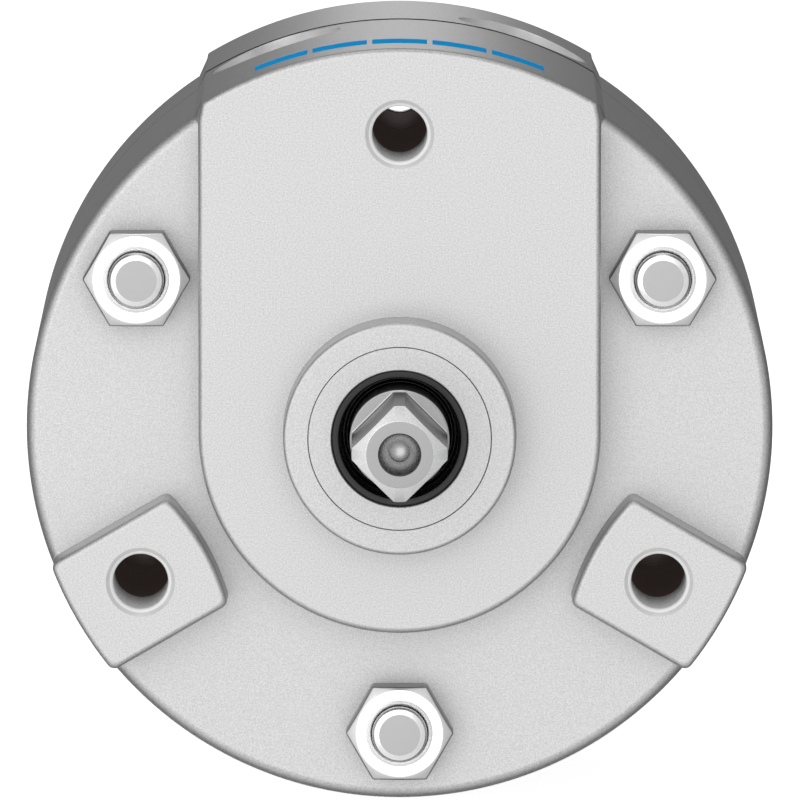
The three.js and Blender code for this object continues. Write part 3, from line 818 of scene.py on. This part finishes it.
def rear_housing():
    shell = barrel(REAR_BASE, REAR_START)
    raised = [land(REAR_LAND, -1, REAR_BASE, REAR_START)]
    raised += [lug(REAR_LAND, -1, REAR_BASE, angle) for angle in LUG_ANGLES]
    raised.append(hub(SPIGOT_RADIUS, SPIGOT_FACE, REAR_LAND, -1))
    shell = combine(shell, raised, "UNION")
    chamber_end = REAR_BASE - END_WALL
    cuts = [
        straight_bore(CHAMBER_RADIUS, REAR_START - 1, chamber_end, 192),
        straight_bore(BEARING_BORE, chamber_end - 1, REAR_BASE),
        straight_bore(SHAFT_BORE, chamber_end, SPIGOT_FACE),
        seal_pocket(REAR_POCKET, SPIGOT_FACE, -1),
        port(JOINT + PORT_TO_JOINT, 90 - PORT_TILT),
        seal_groove(),
    ]
    cuts += sum((mount_hole(REAR_LAND, -1, REAR_START, 3, angle) for angle in MOUNT_ANGLES), [])
    cuts += [bolt_hole(REAR_START - 1, REAR_BASE + 1, angle) for angle in BOLT_ANGLES]
    cuts += [head_seat(angle) for angle in BOLT_ANGLES]
    cuts += dowel_holes(chamber_end - 3, chamber_end + 3.2)
    shell = combine(shell, cuts, "DIFFERENCE")
    shell.name = "rear_housing_shell"
    # The mating face at the joint is painted near-black: painted shade in the gap between the halves.
    refinish(shell, "glossy_painted_shade", lambda centre, normal: abs(centre.y - REAR_START) < 0.01)
    deliver(shell, "housing", "rear_housing")


def head_seat(angle):
    """The counterbore for a socket head, with a small chamfer at its mouth."""
    seat, above = REAR_BASE - 4.1, 8
    radius, chamfer = 5.6, 0.2
    profile = [(0, seat), (radius, seat), (radius, REAR_BASE - chamfer)]
    profile += [(radius + chamfer, REAR_BASE), (radius + chamfer, above), (0, above)]
    return revolve("seat", profile, "machined_aluminium", 64, polar(BOLT_CIRCLE, angle))


# ---------------------------------------------------------------- seals and covers


def seal_cover(name, node, inner, outer, face, inwards):
    """The flat ring that holds a shaft seal in its pocket."""
    back = face + inwards * COVER_THICKNESS
    profile = rounded_loop([(inner, face, 0.12), (outer, face, 0.06), (outer, back), (inner, back)], 3)
    ring = revolve(name, profile, "cast_aluminium", 160)
    deliver(ring, "housing", node)


def lip_seal(name, node, shaft_radius, nose, outer, face, inwards):
    """A rotary seal: a rim just behind the cover's face, a funnel, and a lip on the shaft."""
    y = lambda depth: face + inwards * depth
    cover_back = y(COVER_THICKNESS + 0.05)
    back = y(POCKET_DEPTH - 0.1)
    profile = rounded_loop(
        [
            (nose, y(0.5), 0.2),
            (nose, cover_back),
            (outer, cover_back),
            (outer, back),
            (shaft_radius + 0.7, back),
            (shaft_radius + 0.06, y(6.3), 0.08),
            (shaft_radius + 0.35, y(5.9), 0.08),
            (nose - 1.25, y(6.6), 0.1),
            (nose - 1.0, y(5.1), 0.12),
            (nose - 0.72, y(0.62), 0.1),
        ],
        4,
    )
    ring = revolve(name, profile, "black_rubber", 128)

    def hidden_lip(centre, normal):
        deep = (centre.y - face) * inwards > 0.8
        return deep and math.hypot(centre.x, centre.z) < nose - 0.7

    # The faces deep in the seal's hollow get painted shade: a near-black glossy finish in place of the
    # rubber.
    refinish(ring, "glossy_painted_shade", hidden_lip)
    deliver(ring, "housing", node)


# ---------------------------------------------------------------- fasteners


def hexagon(corner_radius, rotation, fillet):
    corners = [(*polar(corner_radius, rotation + 60 * i), fillet) for i in range(6)]
    return rounded_loop(corners, 4)


def hexagon_radius(flat, fillet, angle):
    """Distance from the centre to a hexagon with rounded corners, one of them at angle 0."""
    off = math.radians(abs((angle + 30) % 60 - 30))
    centre = (flat - fillet) / math.cos(math.radians(30))
    swing = math.atan2(fillet / 2, centre + fillet * math.cos(math.radians(30)))
    if off < swing:
        return centre * math.cos(off) + math.sqrt(fillet**2 - (centre * math.sin(off)) ** 2)
    return flat / math.cos(math.radians(30) - off)


def tie_nut(index, angle):
    """A hex nut with a turned face, its corners bevelled by 30 degrees at both ends."""
    node = f"tie_nut_{index}"
    low, high = node_mm(node)
    face, seat = low.y, high.y
    flat = (high.x - low.x) * math.sqrt(3) / 4
    corner_fillet = 0.22
    bore, mouth = 3.04, 3.6
    slope = math.tan(math.radians(30))

    def profile_at(turned):
        outer = hexagon_radius(flat, corner_fillet, turned)
        return rounded_loop(
            [
                (bore, face + 0.6),
                (bore + 0.04, face + 0.2, 0.05),
                (mouth, face, 0.5),
                (flat - 0.35, face, 0.3),
                (outer, face + (outer - flat + 0.35) * slope, 0.35),
                (outer, seat - (outer - flat + 0.15) * slope, 0.12),
                (flat - 0.15, seat),
                (mouth, seat),
                (bore, seat - 0.35),
            ],
            5,
        )

    # Degrees from a corner to the middle of a side, closer together near the corner.
    half = [0, 0.4, 0.8, 1.2, 2, 3.5, 6, 10, 15, 20, 25]
    steps = half + [30] + [60 - step for step in reversed(half[1:])]
    angles = [60 * side + step for side in range(6) for step in steps]
    nut = sweep(node + "_hex", angles, profile_at, "plated_steel", polar(BOLT_CIRCLE, angle))
    # The nut's side faces take the darker steel as painted shade.
    refinish(nut, "painted_shade_steel", lambda centre, normal: abs(normal.y) < 0.55)
    deliver(nut, "housing", node, 60)


def tie_bolt(index, angle):
    """A socket-head screw with thread grooves at its tip, which shows through the nut."""
    node = f"tie_bolt_{index}"
    low, high = node_mm(node)
    tip, top = low.y, high.y
    head_height, head_radius, threaded, pitch = 6, 4.9, 18, 1.0
    key_width, socket_depth = 5, 3
    seat = top - head_height
    centre = polar(BOLT_CIRCLE, angle)
    crest, root = 2.96, 2.5
    profile = [(0, tip, 0), (2.2, tip, 0.05), (2.75, tip + 0.17, 0.1), (crest, tip + 0.5, 0.1)]
    level = tip + 1.2
    while level < tip + threaded:
        profile += [(crest, level, 0), (root, level + 0.45, 0), (root, level + 0.55, 0)]
        level += pitch
    profile += [(crest, level, 0), (crest, seat, 0), (head_radius, seat, 0.1)]
    profile += [(head_radius, top - 0.4, 0.2), (head_radius - 0.4, top, 0.15), (0, top, 0)]
    bolt = revolve("bolt", rounded(profile, 4), "screw_steel", 96, centre)
    key = [(x + centre[0], z + centre[1]) for x, z in hexagon(key_width / math.sqrt(3), 0, 0.1)]
    lead = [(0, top - 0.35), (2.6, top - 0.35), (3.2, top + 0.2), (0, top + 0.2)]
    cuts = [
        loft("socket", [(top - socket_depth, key), (top + 1, key)], "screw_steel"),
        revolve("lead", lead, "screw_steel", 48, centre),
    ]
    bolt = combine(bolt, cuts, "DIFFERENCE")
    bolt.name = node + "_screw"
    refinish(bolt, "screw_end", lambda centre, normal: normal.y < -0.97)
    deliver(bolt, "housing", node)


# ---------------------------------------------------------------- shaft


def flat_cut(low, shoulder, half, angle):
    """What a cutter takes away beside one flat of the square, with its rounded run-out."""
    far = half + 4
    side = rounded_loop([(half, low - 1), (far, low - 1), (far, shoulder), (half, shoulder, 0.22)], 5)
    return turn(upright("flat", side, (-8, 8), "shaft_steel"), angle)


def key_outline(half, low, high, steps):
    """A key or its slot as (x, y), with round ends at low and high."""
    return arc((0, high - half), half, 0, 180, steps) + arc((0, low + half), half, 180, 360, steps)


def key_slot():
    """The slot for the output key, cut down into the rear end of the shaft."""
    half, low, high = 2.05, 7.95, 26.05
    floor, above = 3.4, 10
    return upright("slot", key_outline(half, low, high, 12), (floor, above), "shaft_steel")


def shaft():
    """The whole shaft: square front end, bearing seats beside a thicker middle, keyed rear end."""
    front, end = SHAFT_LOW.y, SHAFT_HIGH.y
    shoulder = FRONT_HUB - 1
    corner, half_square, end_radius, chamfer = 5.12, 4, 3.55, 0.9
    neck, journal, middle = 5.3, 6, 7
    bearing_seat = 5.05
    mouth, pilot = 2.3, 1.1  # radii of the centre drillings
    profile = rounded(
        [
            (0, front + 6.0),
            (pilot, front + 5.4),
            (pilot, front + 3.2),
            (mouth - 0.1, front + 0.15, 0.1),
            (mouth, front),
            (end_radius, front, 0.15),
            (corner, front + chamfer, 0.12),
            (corner, shoulder),
            (neck - 0.15, shoulder),
            (neck, shoulder + 0.12),
            (neck, FRONT_BASE - 1.2),
            (journal, FRONT_BASE - 0.9),
            (journal, FRONT_BASE + bearing_seat),
            (middle, FRONT_BASE + bearing_seat),
            (middle, REAR_BASE - bearing_seat),
            (journal, REAR_BASE - bearing_seat),
            (journal, end - chamfer, 0.15),
            (journal - chamfer, end, 0.1),
            (mouth, end),
            (pilot, end - 3.2),
            (pilot, end - 5.4),
            (0, end - 6.0),
        ],
        4,
    )
    bar = revolve("bar", profile, "shaft_steel", 144)
    cuts = [flat_cut(front, shoulder, half_square, angle) for angle in (45, 135, 225, 315)]
    cuts.append(key_slot())
    bar = combine(bar, cuts, "DIFFERENCE")
    bar.name = "shaft_bar"

    def chamfered(centre, normal):
        return 0.5 < abs(normal.y) < 0.97 and math.hypot(centre.x, centre.z) > mouth + 0.1

    def flat(centre, normal):
        return centre.y < shoulder and abs(normal.y) < 0.5

    def corner_band(centre, normal):
        return flat(centre, normal) and math.hypot(centre.x, centre.z) > corner - 0.05

    def shoulder_face(centre, normal):
        return normal.y < -0.9 and abs(centre.y - shoulder) < 0.3

    refinish(bar, "milled_flat", flat)
    # The round corner bands beside the square's flats take the darker steel as painted shade.
    refinish(bar, "painted_shade_steel", corner_band)
    refinish(bar, "turned_end", lambda centre, normal: abs(normal.y) > 0.97)
    refinish(bar, "milled_shoulder", shoulder_face)
    refinish(bar, "centre_hole", lambda centre, normal: math.hypot(centre.x, centre.z) < mouth)
    refinish(bar, "bright_chamfer", chamfered)
    deliver(bar, "rotor", "shaft", 30)


def output_key():
    low, high = node_mm("output_key")
    half, half_length = (high.x - low.x) / 2, (high.y - low.y) / 2
    middle = (low.y + high.y) / 2
    chamfer = 0.25
    outline = key_outline(half, low.y, high.y, 16)
    levels = [(low.z, chamfer), (low.z + chamfer, 0), (high.z - chamfer, 0), (high.z, chamfer)]
    loops = []
    for z, inset in levels:
        shrink_x = (half - inset) / half
        shrink_y = (half_length - inset) / half_length
        loops.append([(x * shrink_x, middle + (y - middle) * shrink_y, z) for x, y in outline])
    key = skin("output_key_bar", loops, "bearing_steel")
    deliver(key, "rotor", "output_key")


# ---------------------------------------------------------------- assembly

front_housing()
rear_housing()
seal_cover("front_cover_ring", "front_seal_cover", 7.3, 9.74, FRONT_HUB, 1)
seal_cover("rear_cover_ring", "rear_seal_cover", 8.3, 10.94, SPIGOT_FACE, -1)
lip_seal("front_lip_seal", "front_shaft_seal", 5.28, 7.27, 9.6, FRONT_HUB, 1)
lip_seal("rear_lip_seal", "rear_shaft_seal", 6.0, 8.27, 10.8, SPIGOT_FACE, -1)
for number, bolt_angle in enumerate(BOLT_ANGLES, 1):
    tie_nut(number, bolt_angle)
    tie_bolt(number, bolt_angle)
shaft()
output_key()

for subpart in frame["record"]["subparts"]:
    inner = frame["nodes"][subpart["node"]]
    if not inner.data.materials:
        inner.data.materials.append(None)
    for place in inner.material_slots:
        place.material = MATERIALS[subpart["material_slot"]]

# ---------------------------------------------------------------- floor, light and camera


def floor():
    """A pale disc just under the part, which neither shades it nor shows in its reflections."""
    radius, gap = 6, 0.0002
    bm = bmesh.new()
    bmesh.ops.create_circle(bm, cap_ends=True, radius=radius, segments=96)
    mesh = bpy.data.meshes.new("floor")
    bm.to_mesh(mesh)
    bm.free()
    plain = bpy.data.materials.new("floor")
    plain.use_nodes = True
    bsdf = next(n for n in plain.node_tree.nodes if n.type == "BSDF_PRINCIPLED")
    bsdf.inputs["Base Color"].default_value = (0.9, 0.9, 0.9, 1)
    bsdf.inputs["Roughness"].default_value = 0.8
    bsdf.inputs["Specular IOR Level"].default_value = 0.1
    bsdf.inputs["Emission Color"].default_value = (1, 1, 1, 1)
    bsdf.inputs["Emission Strength"].default_value = 0.8
    mesh.materials.append(plain)
    obj = bpy.data.objects.new("floor", mesh)
    obj.location.z = cad_bounds[0][2] - gap
    obj.visible_glossy = False
    obj.visible_diffuse = False
    obj.visible_shadow = False
    bpy.context.scene.collection.objects.link(obj)


def area_light(name, place, target, size, power):
    """A rectangular light at a place in metres, aimed at its target and unseen by the camera."""
    data = bpy.data.lights.new(name, "AREA")
    data.shape = "RECTANGLE"
    data.size, data.size_y = size
    data.energy = power
    light = bpy.data.objects.new(name, data)
    light.location = place
    light.visible_camera = False
    light.rotation_euler = (Vector(target) - Vector(place)).to_track_quat("-Z", "Y").to_euler()
    bpy.context.scene.collection.objects.link(light)


def world():
    """Soft surroundings: bright in front of the square end, dim behind, a little dimmer at right."""
    sky = bpy.data.worlds.new("studio")
    sky.use_nodes = True
    nodes, links = sky.node_tree.nodes, sky.node_tree.links
    background = nodes["Background"]
    background.inputs["Color"].default_value = (1, 1, 1, 1)
    direction = nodes.new("ShaderNodeSeparateXYZ")
    links.new(nodes.new("ShaderNodeTexCoord").outputs["Generated"], direction.inputs["Vector"])
    fore_aft = nodes.new("ShaderNodeMapRange")
    fore_aft.interpolation_type = "SMOOTHSTEP"
    fore_aft.inputs["From Min"].default_value = 0.1
    fore_aft.inputs["From Max"].default_value = -0.7
    fore_aft.inputs["To Min"].default_value = 0.12
    fore_aft.inputs["To Max"].default_value = 0.83
    links.new(direction.outputs["Y"], fore_aft.inputs["Value"])
    sideways = nodes.new("ShaderNodeMapRange")
    sideways.inputs["From Min"].default_value = -1
    sideways.inputs["From Max"].default_value = 1
    sideways.inputs["To Min"].default_value = 1.2
    sideways.inputs["To Max"].default_value = 0.8
    links.new(direction.outputs["X"], sideways.inputs["Value"])
    product = nodes.new("ShaderNodeMath")
    product.operation = "MULTIPLY"
    links.new(fore_aft.outputs["Result"], product.inputs[0])
    links.new(sideways.outputs["Result"], product.inputs[1])
    links.new(product.outputs["Value"], background.inputs["Strength"])
    bpy.context.scene.world = sky


def camera():
    """Looks down by 5 degrees at the square end, from about 2.15 m through a very long lens."""
    distance = 2152
    tilt = math.radians(5)
    ahead = Vector((0, math.cos(tilt), -math.sin(tilt)))
    above = Vector((0, math.sin(tilt), math.cos(tilt)))
    aim = Vector((0.04, FRONT_BASE, 0)) + above * 2.93
    data = bpy.data.cameras.new("camera")
    data.sensor_width = 36
    data.lens = 903.4
    data.clip_end = 50
    obj = bpy.data.objects.new("camera", data)
    obj.location = (aim - ahead * distance) * MM
    obj.rotation_euler = ahead.to_track_quat("-Z", "Y").to_euler()
    bpy.context.scene.collection.objects.link(obj)
    bpy.context.scene.camera = obj


floor()
area_light("front", (-0.25, -1.5, 0.25), (0, -0.07, 0.02), (1.5, 1.5), 7)
area_light("top", (0, 0.0, 1.5), (0, 0, 0), (0.8, 0.8), 2.8)
area_light("back", (0, 1.6, 0.5), (0, -0.03, 0), (0.25, 0.3), 0.9)
area_light("rear fill", (0, 1.5, -0.6), (0, 0, 0), (1.2, 0.8), 6)
world()
camera()
bpy.context.scene.view_settings.view_transform = "Standard"
